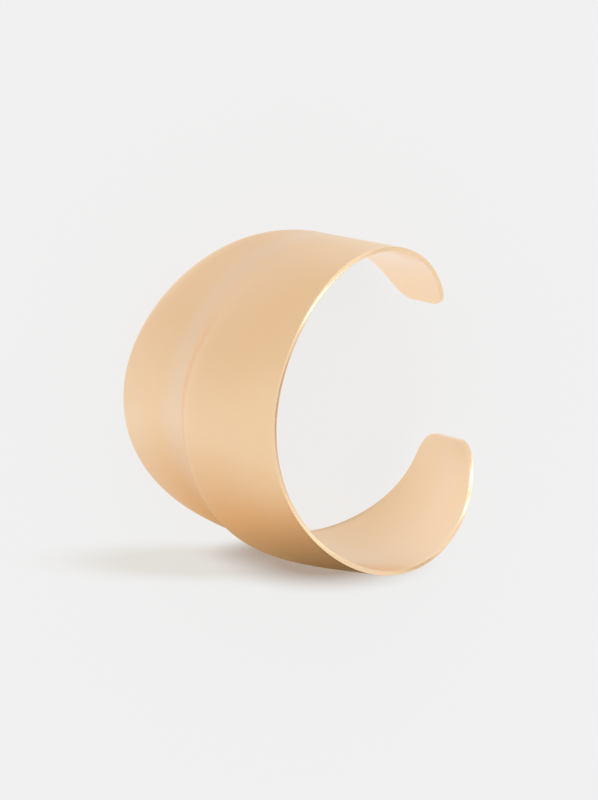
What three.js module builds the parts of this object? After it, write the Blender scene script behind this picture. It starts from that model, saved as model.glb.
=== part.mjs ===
// An open cuff bracelet, made from one sheet of gold-coloured metal.
//
// The flat blank is widest in the middle and tapers to a rounded tip at each end. Its middle is pressed into two
// lobes that run lengthwise with a valley between them, and the blank is bent into an oval that is open between
// the tips. The cuff lies on its side, as it rests by itself: because its arms are narrower than its back, it
// leans forward until two places on its lower edge carry it. +Z is up, +X points from the back to the opening,
// and the two arms mirror each other across the plane y = 0. The origin is on the table, below the middle of the
// cuff's box.

import * as THREE from "three";

// Driving dimensions, in millimetres and degrees.
const SHEET = 0.9; // thickness of the metal
const BLANK_LENGTH = 152; // the flat blank, from tip to tip
const BACK_WIDTH = 59; // width of the blank in the middle
const TIP_WIDTH = 16; // width that the taper comes down to at a tip
const TAPER = 1.1; // power of the cosine that the taper follows: a higher one slims the arms sooner
const TIP_CORNERS = { lower: 5, upper: 2.2 }; // radius of a tip's corner at the lower edge, and at the upper one
const LEAN = 20; // how far the cuff leans towards its opening when it rests
const REST_FLAT = 0.08; // depth of the flats that are dressed on the lower edge, where the cuff rests

// How tightly the sheet's middle is bent, from the middle of the back (along 0) to a tip (along 1).
const BENDS = [
  { along: 0, radius: 24.5 }, // back
  { along: 1 / 3, radius: 37 }, // shoulder
  { along: 2 / 3, radius: 24.5 }, // arm
  { along: 1, radius: 15 }, // tip
];

// The section pressed into the back, from the lower edge (across -1) to the upper one (across 1), with the
// distance that each line stands outside the plain bent sheet. steps is how many facets lead to it.
const RIDGES = [
  { line: "lower edge", across: -1, rise: 0, steps: 0 },
  { line: "lower lobe", across: -0.5, rise: 1.3, steps: 4 },
  { line: "valley", across: -0.2, rise: 0.6, steps: 4 },
  { line: "upper lobe", across: 0.25, rise: 5.3, steps: 8 },
  { line: "upper edge", across: 1, rise: 0, steps: 7 },
];
const PRESSED_TO = 0.08; // the lobes have their full height this far along each arm
const PLAIN_FROM = 0.6; // and have faded out here

const ARM_STEPS = 34; // facets along one arm, from the middle of the back to the corners of its tip
const CORNER_STEPS = 6; // facets along the rounded corners of a tip

const ARM_LENGTH = BLANK_LENGTH / 2;

// A smooth change from a to b as t goes from 0 to 1, level at both ends.
const ease = (a, b, t) => a + ((b - a) * (1 - Math.cos(Math.PI * t))) / 2;

// Curvature of the bent sheet at a fraction along an arm.
function curvature(along) {
  const next = Math.max(1, BENDS.findIndex((row) => row.along >= along));
  const a = BENDS[next - 1];
  const b = BENDS[next];
  return ease(1 / a.radius, 1 / b.radius, (along - a.along) / (b.along - a.along));
}

// The bent centre line as seen from above, worked out by walking along one arm in small straight steps. Each
// entry is a place {x, y} and the direction {turn} in which the sheet runs there, with the back's middle at 0, 0.
const WALK_STEPS = 600;
const WALK = [{ x: 0, y: 0, turn: 0 }];
for (let i = 0; i < WALK_STEPS; i++) {
  const { x, y, turn } = WALK[i];
  const step = ARM_LENGTH / WALK_STEPS;
  const bend = curvature((i + 0.5) / WALK_STEPS) * step;
  const middle = turn + bend / 2;
  WALK.push({ x: x + step * Math.sin(middle), y: y + step * Math.cos(middle), turn: turn + bend });
}

// Place and direction on the centre line at a fraction along an arm.
function centreLine(along) {
  const i = Math.min(Math.floor(along * WALK_STEPS), WALK_STEPS - 1);
  const t = along * WALK_STEPS - i;
  const mix = (key) => WALK[i][key] + (WALK[i + 1][key] - WALK[i][key]) * t;
  return { x: mix("x"), y: mix("y"), turn: mix("turn") };
}

// Half the width that the taper gives the blank at a fraction along an arm.
function taperedHalfWidth(along) {
  const share = Math.cos((Math.PI / 2) * along) ** TAPER;
  return (TIP_WIDTH + (BACK_WIDTH - TIP_WIDTH) * share) / 2;
}

// The same, with a corner of the given radius rounded off at the tip.
function halfWidth(along, corner) {
  const toCornerStart = corner - (1 - along) * ARM_LENGTH;
  if (toCornerStart <= 0) return taperedHalfWidth(along);
  const kept = Math.sqrt(corner ** 2 - Math.min(toCornerStart, corner) ** 2);
  return taperedHalfWidth(along) - corner + kept;
}

// How far the pressed section stands out at a place across the back.
function pressedRise(across) {
  const next = Math.max(1, RIDGES.findIndex((row) => row.across >= across));
  const a = RIDGES[next - 1];
  const b = RIDGES[next];
  const t = (across - a.across) / (b.across - a.across);
  if (next === 1) return b.rise * Math.sin((Math.PI / 2) * t);
  if (next === RIDGES.length - 1) return a.rise * Math.cos((Math.PI / 2) * t);
  return ease(a.rise, b.rise, t);
}

// A point of the sheet's middle surface, with along from -1 at one tip to 1 at the other.
function sheetPoint(along, across) {
  const arm = Math.abs(along);
  const { x, y, turn } = centreLine(arm);
  const faded = THREE.MathUtils.clamp((arm - PRESSED_TO) / (PLAIN_FROM - PRESSED_TO), 0, 1);
  const z = across * halfWidth(arm, across < 0 ? TIP_CORNERS.lower : TIP_CORNERS.upper);
  const rise = ease(1, 0, faded) * pressedRise(z / taperedHalfWidth(arm));
  const outX = x - rise * Math.cos(turn);
  const outY = y + rise * Math.sin(turn);
  return new THREE.Vector3(outX, along < 0 ? -outY : outY, z);
}

// The sheet's outward direction there, from its slopes along and across.
function sheetNormal(along, across) {
  const reach = 1e-3;
  const onBlank = (fraction) => THREE.MathUtils.clamp(fraction, -1, 1);
  const slope = (da, dc) => {
    const ahead = sheetPoint(onBlank(along + da), onBlank(across + dc));
    const behind = sheetPoint(onBlank(along - da), onBlank(across - dc));
    return ahead.sub(behind);
  };
  return slope(0, reach).cross(slope(reach, 0)).normalize();
}

// The fractions along the blank at which its facets meet: even steps down each arm, then closer ones round the
// corners of the tip.
function alongStations() {
  const corner = Math.max(TIP_CORNERS.lower, TIP_CORNERS.upper);
  const cornerAt = 1 - corner / ARM_LENGTH;
  const arm = [];
  for (let i = 1; i <= ARM_STEPS; i++) arm.push((cornerAt * i) / ARM_STEPS);
  for (let i = 1; i <= CORNER_STEPS; i++) {
    const angle = ((Math.PI / 2) * i) / CORNER_STEPS;
    arm.push(cornerAt + (Math.sin(angle) * corner) / ARM_LENGTH);
  }
  return [...arm.map((a) => -a).reverse(), 0, ...arm];
}

// The fractions across the blank at which its facets meet, closer together where the section curves more.
function acrossStations() {
  const stations = [RIDGES[0].across];
  for (let r = 1; r < RIDGES.length; r++) {
    const from = RIDGES[r - 1].across;
    const { across, steps } = RIDGES[r];
    for (let i = 1; i <= steps; i++) stations.push(from + ((across - from) * i) / steps);
  }
  return stations;
}

// The closed skin of the sheet: an outer and an inner face, half a thickness each side of the middle surface,
// joined by a narrow wall all the way round the edge.
function sheetGeometry() {
  const along = alongStations();
  const across = acrossStations();
  const columns = across.length;
  const perFace = along.length * columns;
  const points = [];
  for (const side of [0.5, -0.5])
    for (const a of along)
      for (const c of across)
        points.push(sheetPoint(a, c).addScaledVector(sheetNormal(a, c), side * SHEET));
  const triangles = [];
  const quad = (a, b, c, d) => triangles.push(a, b, c, a, c, d);
  const outer = (i, j) => i * columns + j;
  const inner = (i, j) => perFace + outer(i, j);
  const lastRow = along.length - 1;
  const lastColumn = columns - 1;
  for (let i = 0; i < lastRow; i++)
    for (let j = 0; j < lastColumn; j++) {
      quad(outer(i, j), outer(i, j + 1), outer(i + 1, j + 1), outer(i + 1, j));
      quad(inner(i, j), inner(i + 1, j), inner(i + 1, j + 1), inner(i, j + 1));
    }
  for (let i = 0; i < lastRow; i++) {
    quad(outer(i, 0), outer(i + 1, 0), inner(i + 1, 0), inner(i, 0));
    quad(outer(i + 1, lastColumn), outer(i, lastColumn), inner(i, lastColumn), inner(i + 1, lastColumn));
  }
  for (let j = 0; j < lastColumn; j++) {
    quad(outer(0, j + 1), outer(0, j), inner(0, j), inner(0, j + 1));
    quad(outer(lastRow, j), outer(lastRow, j + 1), inner(lastRow, j + 1), inner(lastRow, j));
  }
  const geometry = new THREE.BufferGeometry();
  const coordinates = points.flatMap((point) => point.toArray());
  geometry.setAttribute("position", new THREE.Float32BufferAttribute(coordinates, 3));
  geometry.setIndex(triangles);
  return geometry;
}

// Lays the upright sheet down as it rests: leaned towards its opening, centred over the origin, and with its
// lowest edge dressed flat on the table.
function rest(geometry) {
  geometry.rotateY(THREE.MathUtils.degToRad(LEAN));
  geometry.computeBoundingBox();
  const centre = geometry.boundingBox.getCenter(new THREE.Vector3());
  const floor = geometry.boundingBox.min.z + REST_FLAT;
  geometry.translate(-centre.x, -centre.y, -floor);
  const position = geometry.getAttribute("position");
  for (let i = 0; i < position.count; i++) position.setZ(i, Math.max(position.getZ(i), 0));
  geometry.computeVertexNormals();
  return geometry;
}

const satinGold = new THREE.MeshStandardMaterial({ color: 0xe9c491, roughness: 0.38, metalness: 1 });

const cuff = new THREE.Mesh(rest(sheetGeometry()), satinGold);
cuff.name = "cuff";

const bracelet = new THREE.Group();
bracelet.add(cuff);

export default bracelet;
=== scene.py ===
# %% [markdown]
# # An open cuff bracelet in satin gold
#
# This lesson dresses one piece of jewellery: a wide cuff, made from a single sheet of metal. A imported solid
# of the sheet is loaded first. It has the true size, the two pressed lobes and the bend, but it is made of
# flat facets and its edges are square. Blender's work is the surface: a fine smooth skin, softly rounded
# edges, and a satin gold finish with a polished edge.

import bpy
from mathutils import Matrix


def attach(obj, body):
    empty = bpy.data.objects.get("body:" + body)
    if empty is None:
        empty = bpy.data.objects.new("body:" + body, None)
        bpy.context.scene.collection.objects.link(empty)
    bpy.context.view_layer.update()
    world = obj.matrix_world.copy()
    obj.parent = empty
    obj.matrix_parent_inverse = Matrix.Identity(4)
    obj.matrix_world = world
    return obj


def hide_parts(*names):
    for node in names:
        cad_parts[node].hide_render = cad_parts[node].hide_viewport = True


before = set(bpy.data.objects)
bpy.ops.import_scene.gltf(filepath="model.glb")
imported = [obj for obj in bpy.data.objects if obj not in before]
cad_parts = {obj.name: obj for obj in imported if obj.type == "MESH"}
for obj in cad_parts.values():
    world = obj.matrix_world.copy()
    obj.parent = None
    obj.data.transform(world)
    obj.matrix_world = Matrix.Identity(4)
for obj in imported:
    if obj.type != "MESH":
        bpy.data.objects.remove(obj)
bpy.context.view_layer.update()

# %% [markdown]
# Everything is in metres. A few sizes of the real cuff are named here, because the finish follows them: how
# thick the sheet is, how far it leans towards its opening as it rests, and how deep its edges are rounded.

# %% Name the sizes that the finish follows
from math import cos, radians, sin

import bpy
from mathutils import Matrix, Vector, kdtree

MM = 0.001
SHEET = 0.9 * MM
LEAN = radians(20)
EDGE_ROUNDING = 0.2 * MM

print("sheet", SHEET / MM, "mm thick, leaning", round(LEAN / radians(1)), "degrees")

# %% [markdown]
# The camera comes early, because it decides what has to be good. It looks down on the cuff from the side of
# its upper arm, with a long lens, as a catalogue picture is taken, so the oval is hardly distorted. It is
# turned about its own line of sight until the +Y arm is at the top of the picture.

# %% Place the camera
LOOK_AT = Vector((-0.7, 3.6, 27.4)) * MM
VIEW_AZIMUTH = radians(117.1)
VIEW_ELEVATION = radians(74.1)
VIEW_DISTANCE = 727 * MM
VIEW_ROLL = radians(141.5)

away = Vector((
    cos(VIEW_ELEVATION) * cos(VIEW_AZIMUTH),
    cos(VIEW_ELEVATION) * sin(VIEW_AZIMUTH),
    sin(VIEW_ELEVATION),
))
bpy.ops.object.camera_add(location=LOOK_AT + away * VIEW_DISTANCE)
camera = bpy.context.object
camera.rotation_mode = "QUATERNION"
level = (-away).to_track_quat("-Z", "Y")
camera.rotation_quaternion = level @ Matrix.Rotation(VIEW_ROLL, 3, "Z").to_quaternion()
camera.data.sensor_width = 36
camera.data.lens = 176.6
camera.data.clip_start = 0.01
camera.data.clip_end = 20
bpy.context.scene.camera = camera
print("the camera stands", round(camera.location.length, 2), "m away")

# %% [markdown]
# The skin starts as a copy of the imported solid, because its shape is already right. The solid is made of
# loose triangles, so the copy's doubled corners are merged first, and pairs of triangles are joined into
# four-sided faces, which a subdivision surface smooths far better.

# %% Copy the solid and make it a clean mesh
def deselect_all():
    if bpy.context.object and bpy.context.object.mode != "OBJECT":
        bpy.ops.object.mode_set(mode="OBJECT")
    bpy.ops.object.select_all(action="DESELECT")


def activate(piece):
    deselect_all()
    piece.select_set(True)
    bpy.context.view_layer.objects.active = piece


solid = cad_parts["cuff"]
cuff = solid.copy()
cuff.data = solid.data.copy()
for key in list(cuff.keys()):
    del cuff[key]
cuff.parent = None
cuff.name = "cuff_sheet"
bpy.context.scene.collection.objects.link(cuff)

activate(cuff)
bpy.ops.object.mode_set(mode="EDIT")
bpy.ops.mesh.select_all(action="SELECT")
bpy.ops.mesh.remove_doubles(threshold=0.001 * MM)
bpy.ops.mesh.tris_convert_to_quads(face_threshold=radians(40), shape_threshold=radians(180))
bpy.ops.object.mode_set(mode="OBJECT")
corners = [len(face.vertices) for face in cuff.data.polygons]
print(len(corners), "faces, of which", corners.count(3), "are still triangles")

# %% [markdown]
# A sheet's edge is never quite square: it is filed and polished so that it doesn't catch on skin. The sharp
# edges of the rim are found by the angle between their faces, and bevelled about a fifth of the sheet's
# thickness deep. The middle of the rim is remembered before, as a line of points, because the polish
# follows it.

# %% Round the edges of the sheet
SHARP = radians(60)
ROUNDING_STEPS = 2
RIM_POINTS = 8

bpy.ops.object.mode_set(mode="EDIT")
bpy.ops.mesh.select_mode(type="EDGE")
bpy.ops.mesh.select_all(action="DESELECT")
bpy.ops.mesh.edges_select_sharp(sharpness=SHARP)
bpy.ops.object.mode_set(mode="OBJECT")
sharp_pairs = {tuple(sorted(edge.vertices)) for edge in cuff.data.edges if edge.select}
rim_points = []
for face in cuff.data.polygons:
    crossing = [pair for pair in face.edge_keys if tuple(sorted(pair)) not in sharp_pairs]
    if len(face.vertices) != 4 or len(crossing) != 2:
        continue
    ends = [(cuff.data.vertices[p].co + cuff.data.vertices[q].co) / 2 for p, q in crossing]
    rim_points += [ends[0].lerp(ends[1], step / RIM_POINTS) for step in range(RIM_POINTS)]
bpy.ops.object.mode_set(mode="EDIT")
bpy.ops.mesh.bevel(offset=EDGE_ROUNDING, segments=ROUNDING_STEPS, profile=0.5, clamp_overlap=True)
bpy.ops.object.mode_set(mode="OBJECT")
print(len(sharp_pairs), "sharp edges rounded;", len(rim_points), "points along the rim")

# %% [markdown]
# A subdivision surface turns the facets into one smooth sheet. It is applied, so what is measured and
# painted later is the real mesh.

# %% Smooth the sheet
SMOOTHING = 2

activate(cuff)
smooth = cuff.modifiers.new("smooth sheet", "SUBSURF")
smooth.levels = SMOOTHING
smooth.render_levels = SMOOTHING
bpy.ops.object.modifier_apply(modifier=smooth.name)
bpy.ops.object.shade_smooth()
print("the skin has", len(cuff.data.polygons), "faces")

# %% [markdown]
# The finish has to follow the sheet: the satin brushing runs lengthwise, round the wrist. So each point
# gets its place on the flat blank as a UV map, worked out in the cuff's own upright frame: how far round
# the wrist, and how far across the width. Two more values are kept with each point: whether it is on the
# inner face, and how near it is to the polished rim.

# %% Lay out the sheet for its finish
upright = Matrix.Rotation(-LEAN, 3, "Y")
axis = Vector((sin(LEAN), 0, cos(LEAN)))
spine = [v.co for v in cuff.data.vertices if abs(v.co.y) < 0.01 * MM and v.co.x < 0]
top = max(spine, key=axis.dot)
bottom = min(spine, key=axis.dot)
back_middle = (top + bottom) / 2
WRIST_CENTRE = 26 * MM
WRIST_RADIUS = 28 * MM
POLISH_REACH = SHEET


def on_blank(point):
    """How far round the wrist from the back's middle, how far across the width, and the outward direction."""
    local = upright @ (point - back_middle)
    spoke = Vector((local.x - WRIST_CENTRE, local.y, 0))
    around = Vector((-1, 0)).angle_signed(spoke.xy, 0) * WRIST_RADIUS
    return around, local.z, spoke.normalized()


rim = kdtree.KDTree(len(rim_points))
for i, point in enumerate(rim_points):
    rim.insert(point, i)
rim.balance()

mesh = cuff.data
places = [on_blank(v.co) for v in mesh.vertices]
inside = mesh.attributes.new("inside", "FLOAT", "POINT")
polish = mesh.attributes.new("polish", "FLOAT", "POINT")
for v, (around, across, spoke) in zip(mesh.vertices, places):
    outward = (upright @ v.normal).dot(spoke)
    inside.data[v.index].value = min(1, max(0, 0.5 - 2 * outward))
    distance = rim.find(v.co)[2]
    polish.data[v.index].value = max(0, 1 - distance / POLISH_REACH)

blank = mesh.uv_layers.new(name="blank")
for loop in mesh.loops:
    around, across, spoke = places[loop.vertex_index]
    blank.data[loop.index].uv = (around / MM, across / MM)
print("the sheet reaches", round(max(p[0] for p in places) / MM), "mm round from the back's middle")

# %% [markdown]
# A material is a little sum: masks are added and multiplied, and their result sets a colour or a roughness.
# A small class wraps a node's socket so that such sums can be written as ordinary Python, and one method
# adds any other node.

# %% A helper for shader sums
class Value:
    """A node's output socket on which arithmetic can be done."""

    def __init__(self, graph, socket):
        self.graph = graph
        self.socket = socket

    def _math(self, operation, *inputs):
        return self.graph.node("ShaderNodeMath", {"operation": operation}, *inputs)

    def __add__(self, other):
        return self._math("ADD", self, other)

    def __radd__(self, other):
        return self._math("ADD", other, self)

    def __sub__(self, other):
        return self._math("SUBTRACT", self, other)

    def __rsub__(self, other):
        return self._math("SUBTRACT", other, self)

    def __mul__(self, other):
        return self._math("MULTIPLY", self, other)

    def __rmul__(self, other):
        return self._math("MULTIPLY", other, self)

    def clamped(self):
        return self.graph.node("ShaderNodeClamp", {}, self, 0, 1)


class Graph:
    """A material's nodes."""

    def __init__(self, tree):
        self.tree = tree
        tree.nodes.clear()

    def node(self, kind, settings, *inputs, output=0, **named):
        """Adds a node, sets it up, then fills its sockets in order or by name with numbers or links."""
        node = self.tree.nodes.new(kind)
        for key, value in settings.items():
            if key == "stops":
                ramp = node.color_ramp
                while len(ramp.elements) < len(value):
                    ramp.elements.new(0.5)
                for element, (position, color) in zip(ramp.elements, value):
                    element.position = position
                    element.color = color
            else:
                setattr(node, key, value)
        for key, value in [*enumerate(inputs), *named.items()]:
            socket = node.inputs[key if isinstance(key, int) else key.replace("_", " ")]
            if isinstance(value, Value):
                self.tree.links.new(value.socket, socket)
            else:
                socket.default_value = value
        return Value(self, node.outputs[output]) if node.outputs else node


def mix_colours(graph, factor, first, second):
    """Blends two colours; the sockets are taken by place, because the Mix node has one set for each type."""
    node = graph.tree.nodes.new("ShaderNodeMix")
    node.data_type = "RGBA"
    for index, value in ((0, factor), (6, first), (7, second)):
        if isinstance(value, Value):
            graph.tree.links.new(value.socket, node.inputs[index])
        else:
            node.inputs[index].default_value = value
    return Value(graph, node.outputs[2])


print("shader helper ready")

# %% [markdown]
# Satin gold plate is brushed lengthwise with a fine abrasive. The brushing leaves thousands of shallow
# scratches that spread a reflection across them, which is why satin metal shows soft broad glows instead of
# mirror images. Here they are stretched noise on the blank's own map, used twice: as a very slight bump and
# as a small change of roughness. The inner face is a little glossier than the outer one, as it is brushed
# less, and the rim is polished.

# %% The satin gold finish
GOLD = (0.97, 0.695, 0.425, 1)
PINK_TONE_AND_SHEEN = (0.95, 0.73, 0.53, 1)
GOLD_DEEP = (0.94, 0.65, 0.38, 1)
GOLD_EDGE = (0.98, 0.73, 0.48, 1)

material = bpy.data.materials.new("satin_gold")
material.use_nodes = True
g = Graph(material.node_tree)

where = g.node("ShaderNodeUVMap", {"uv_map": "blank"})
is_inside = g.node("ShaderNodeAttribute", {"attribute_name": "inside"}, output="Fac")
is_polished = g.node("ShaderNodeAttribute", {"attribute_name": "polish"}, output="Fac")


def brushing(length, width, detail=2.0):
    """Noise stretched lengthwise: length and width are one scratch's, in millimetres."""
    per_scratch = (1 / length, 1 / width, 1)
    stretched = g.node("ShaderNodeVectorMath", {"operation": "MULTIPLY"}, where, per_scratch)
    return g.node(
        "ShaderNodeTexNoise", {}, Vector=stretched, Scale=1.0, Detail=detail, Roughness=0.6, output="Fac",
    )


fine = brushing(7, 0.12)
medium = brushing(22, 0.5)
clouds = brushing(30, 12, 3.0)
grain = (fine * 0.6 + medium * 0.4) - 0.5

# The pink band along the pressed valley of the outer face is a painted highlight, standing for the light that
# the valley's curve reflects; the cloudy pink elsewhere is the plate's own random tone.
VALLEY_ACROSS = -7.5
VALLEY_WIDTH = 5.0
across = g.node("ShaderNodeSeparateXYZ", {}, where, output="Y")
from_valley = g.node("ShaderNodeMath", {"operation": "ABSOLUTE"}, across - VALLEY_ACROSS)
painted_valley_sheen = (1 - from_valley * (1 / VALLEY_WIDTH)).clamped() * (1 - is_inside)
tone_and_valley_sheen = (clouds * 1.2 - 0.45 + painted_valley_sheen).clamped()
body_colour = mix_colours(g, tone_and_valley_sheen, GOLD, PINK_TONE_AND_SHEEN)
body_colour = mix_colours(g, (0.5 - grain * 1.5).clamped() * 0.25, body_colour, GOLD_DEEP)
colour = mix_colours(g, (is_polished * 1.5).clamped() * 0.6, body_colour, GOLD_EDGE)

OUTER_ROUGHNESS = 0.34
GLOSSIER_INSIDE = 0.12
GRAIN_SHARE = 0.10
CLOUD_SHARE = 0.06
grain_left = grain * (1 - is_inside * 0.7)
satin = OUTER_ROUGHNESS - is_inside * GLOSSIER_INSIDE
satin = satin + grain_left * GRAIN_SHARE + (clouds - 0.5) * CLOUD_SHARE
roughness = satin * (1 - is_polished * 0.5)

scratches = grain * (1 - is_polished) * (1 - is_inside * 0.85)
bump = g.node("ShaderNodeBump", {}, Strength=0.12, Distance=0.02 * MM, Height=scratches)
shader = g.node(
    "ShaderNodeBsdfPrincipled", {},
    Base_Color=colour, Metallic=1.0, Roughness=roughness, Normal=bump,
)
g.node("ShaderNodeOutputMaterial", {}, shader)

cuff.data.materials.clear()
cuff.data.materials.append(material)
print("satin gold has", len(material.node_tree.nodes), "nodes")

# %% [markdown]
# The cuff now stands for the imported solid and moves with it.

# %% Put the cuff in the frame
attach(cuff, "root")
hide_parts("cuff")
print("cuff_sheet rides on root")

# %% [markdown]
# The cuff lies on a plain pale floor, a light table that glows evenly, which keeps the ground pale inside
# the cuff, where its own shadow would fall. A thin matt sheet on the glass lets a little real shading
# through. A table lit from below shows almost no cast shadow, so painted shadows are laid into the glow
# beside the -Y arm: a long faint one, a short dark one where the arm comes down, and a narrow one close
# along its foot. Each is a spherical gradient, stretched and turned.

# %% Floor
FLOOR_GLOW = 0.895
MATT_SHARE = 0.14
MATT_WHITE = (0.96, 0.975, 1.0, 1)
CLEAR_GLASS = (1, 1, 1, 1)
FAINT_SHADOW = (0.87, 0.84, 0.79, 1)
DARK_SHADOW = (0.45, 0.34, 0.26, 1)


def soft_patch(graph, middle, reach, turn):
    """A soft-edged oval: 1 in the middle, 0 at its reach along and across, in millimetres and degrees."""
    spot = graph.node("ShaderNodeTexCoord", {}, output="Object")
    laid = graph.node(
        "ShaderNodeMapping", {"vector_type": "TEXTURE"},
        spot, (middle[0] * MM, middle[1] * MM, 0), (0, 0, radians(turn)), (reach[0] * MM, reach[1] * MM, 1),
    )
    cone = graph.node("ShaderNodeTexGradient", {"gradient_type": "SPHERICAL"}, laid, output="Fac")
    return graph.node("ShaderNodeMapRange", {"interpolation_type": "SMOOTHSTEP"}, cone, output="Result")


bpy.ops.mesh.primitive_plane_add(size=8, location=(0, 0, 0))
floor = bpy.context.object
floor.name = "floor"
pale = bpy.data.materials.new("pale_floor")
pale.use_nodes = True
p = Graph(pale.node_tree)
# Three painted shadows darken the floor's glow beside the -Y arm.
long_painted_shadow = (soft_patch(p, (-22, -30.7), (38, 5.2), -13.5) * 1.6).clamped()
short_painted_shadow = (soft_patch(p, (2, -36), (24, 7.2), -13) * 1.4).clamped()
glow_and_painted_shadows = mix_colours(p, long_painted_shadow, CLEAR_GLASS, FAINT_SHADOW)
glow_and_painted_shadows = mix_colours(p, short_painted_shadow, glow_and_painted_shadows, DARK_SHADOW)
close_painted_shadow = (soft_patch(p, (-1, -33), (24, 4), -11) * 1.4).clamped()
glow_and_painted_shadows = mix_colours(p, close_painted_shadow, glow_and_painted_shadows, DARK_SHADOW)
matt = p.node("ShaderNodeBsdfDiffuse", {}, Color=MATT_WHITE)
glow = p.node("ShaderNodeEmission", {}, Color=glow_and_painted_shadows, Strength=FLOOR_GLOW)
ground = p.node("ShaderNodeMixShader", {}, MATT_SHARE, glow, matt)
p.node("ShaderNodeOutputMaterial", {}, ground)
floor.data.materials.append(pale)
print("floor laid, with", len(pale.node_tree.nodes), "nodes")

# %% [markdown]
# The world all round is a pale studio. Straight above it is darker, where the camera and its stand are, and
# the edge of the sheet, which looks upwards, takes a thin dark line from there.

# %% World
STUDIO = 0.90
OVERHEAD = (0.38, 0.32, 0.27, 1)

world = bpy.data.worlds.new("studio")
bpy.context.scene.world = world
world.use_nodes = True
w = Graph(world.node_tree)
sky = w.node("ShaderNodeTexCoord", {}, output="Generated")
height = w.node("ShaderNodeSeparateXYZ", {}, sky, output="Z")
overhead = w.node(
    "ShaderNodeMapRange", {"interpolation_type": "SMOOTHSTEP"}, height, 0.80, 0.93, output="Result",
)
pale_sky = mix_colours(w, overhead, (1, 1, 1, 1), OVERHEAD)
w.node("ShaderNodeOutputWorld", {}, w.node("ShaderNodeBackground", {}, pale_sky, STUDIO))
bpy.context.scene.view_settings.view_transform = "Standard"
print("studio strength", STUDIO)

# %% [markdown]
# Polished metal is lit by what it reflects. In an all-white room gold looks flat, so a photographer lays
# coloured paper round it. Here one large glowing disc just above the floor, seen only in the metal, takes
# that place with four tones. White lies all round; grey beside the +Y arm and brown beside the -Y arm are
# painted shade, the brown standing for the cuff's own shadow on the ground there, with tan between it and
# the back so that the curve darkens softly. A radial gradient lays them out by direction, evenly spaced.
# The ground inside the cuff is a cooler white, and turns to a grey of painted shade close to the -Y arm.

# %% The toned card of painted shade
CARD_REACH = 0.6
CARD_CENTRE = (0, 0, 0.3 * MM)
WHITE = (0.9, 0.9, 0.9, 1)
COOL_WHITE = (0.95, 0.95, 1.0, 1)
GREY = (0.8, 0.75, 0.7, 1)
TAN = (0.7, 0.5, 0.3, 1)
BROWN = (0.1, 0.05, 0.0, 1)
SHADE_STARTS = 10
SHADE_ENDS = 25
GROUND_ENDS = 29
PAPER_STARTS = 31
# Brown, tan and grey here are painted shade that the metal reflects; the brown stands for the cuff's own
# shadow beside the -Y arm.
CARD_TONES = [
    (-180, WHITE),
    (-135, TAN),
    (-90, BROWN),
    (-45, WHITE),
    (45, WHITE),
    (90, GREY),
    (135, GREY),
    (180, WHITE),
]

bpy.ops.mesh.primitive_circle_add(vertices=64, radius=CARD_REACH, fill_type="NGON", location=CARD_CENTRE)
card = bpy.context.object
card.name = "white_and_painted_shade_card"
toned = bpy.data.materials.new("white_and_painted_shade_card")
toned.use_nodes = True
t = Graph(toned.node_tree)
spot = t.node("ShaderNodeTexCoord", {}, output="Object")
turn = t.node("ShaderNodeTexGradient", {"gradient_type": "RADIAL"}, spot, output="Fac")
far = t.node("ShaderNodeVectorMath", {"operation": "LENGTH"}, spot, output="Value")


def ramp(value, start, end):
    """0 where the value is at start or before, and 1 from end on, in millimetres."""
    return ((value - start * MM) * (1 / ((end - start) * MM))).clamped()


stops = [(degrees / 360 + 0.5, tone_and_valley_sheen) for degrees, tone_and_valley_sheen in CARD_TONES]
round_the_cuff = t.node("ShaderNodeValToRGB", {"stops": stops}, turn, output="Color")
towards_arm = t.node("ShaderNodeSeparateXYZ", {}, spot, output="Y") * -1
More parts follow.
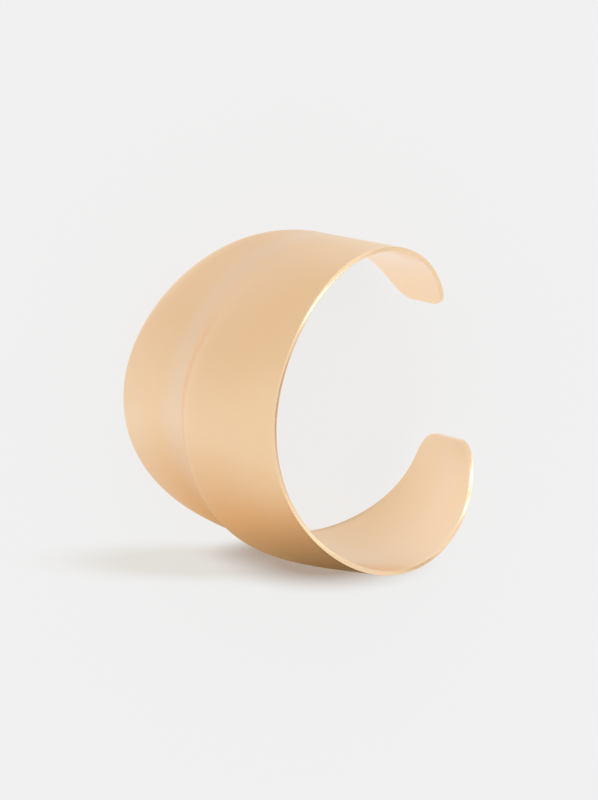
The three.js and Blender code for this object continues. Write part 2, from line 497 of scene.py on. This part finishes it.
# The grey on the ground close to the -Y arm is painted shade.
ground = mix_colours(t, ramp(towards_arm, SHADE_STARTS, SHADE_ENDS), COOL_WHITE, GREY)
tone_here = mix_colours(t, ramp(far, GROUND_ENDS, PAPER_STARTS), ground, round_the_cuff)
shine = t.node("ShaderNodeEmission", {}, Color=tone_here, Strength=1.0)
t.node("ShaderNodeOutputMaterial", {}, shine)


def only_in_metal(card, finish):
    """Gives a card its finish and hides it from all but reflections."""
    card.data.materials.append(finish)
    card.visible_camera = False
    card.visible_diffuse = False
    card.visible_shadow = False
    card.visible_transmission = False


only_in_metal(card, toned)
print("card with", len(toned.node_tree.nodes), "nodes")

# %% [markdown]
# A brown flag stands low beyond the opening, and draws the dark line on the edge of the back. Above it
# stand three small soft boxes, which draw the bright lines along other stretches of the edge. A larger soft
# box, the key, stands beyond the +Y arm and lights the whole.

# %% Flag and soft boxes
FLAG_TONE = (0.42, 0.30, 0.20, 1)
FLAG_SIZE = (0.20, 0.10, 1)


def facing(direction, elevation, distance):
    """A place round the cuff, and the turn that faces its middle from there."""
    target = Vector((0, 0, 28 * MM))
    a, e = radians(direction), radians(elevation)
    spoke = Vector((cos(e) * cos(a), cos(e) * sin(a), sin(e)))
    return target + spoke * distance, spoke.to_track_quat("Z", "Y")


place, turned = facing(-17.5, 0, 1.5)
bpy.ops.mesh.primitive_plane_add(size=1, location=place)
flag = bpy.context.object
flag.name = "brown_flag"
flag.scale = FLAG_SIZE
flag.rotation_mode = "QUATERNION"
flag.rotation_quaternion = turned
brown = bpy.data.materials.new("brown_flag")
brown.use_nodes = True
f = Graph(brown.node_tree)
f.node("ShaderNodeOutputMaterial", {}, f.node("ShaderNodeEmission", {}, Color=FLAG_TONE, Strength=1.0))
only_in_metal(flag, brown)


def soft_box(name, direction, elevation, distance, size, power):
    """A square area light that faces the middle of the cuff."""
    place, turned = facing(direction, elevation, distance)
    bpy.ops.object.light_add(type="AREA", location=place)
    light = bpy.context.object
    light.name = name
    light.data.size = size
    light.data.energy = power
    light.rotation_mode = "QUATERNION"
    light.rotation_quaternion = turned


soft_box("shoulder_light", -10, 6.5, 1.5, 0.09, 0.08)
soft_box("arm_light", 13, 18, 1.5, 0.18, 0.24)
soft_box("arm_light_low", 4, 9, 1.5, 0.14, 0.14)
soft_box("key", 80, 50, 0.8, 0.5, 0.6)
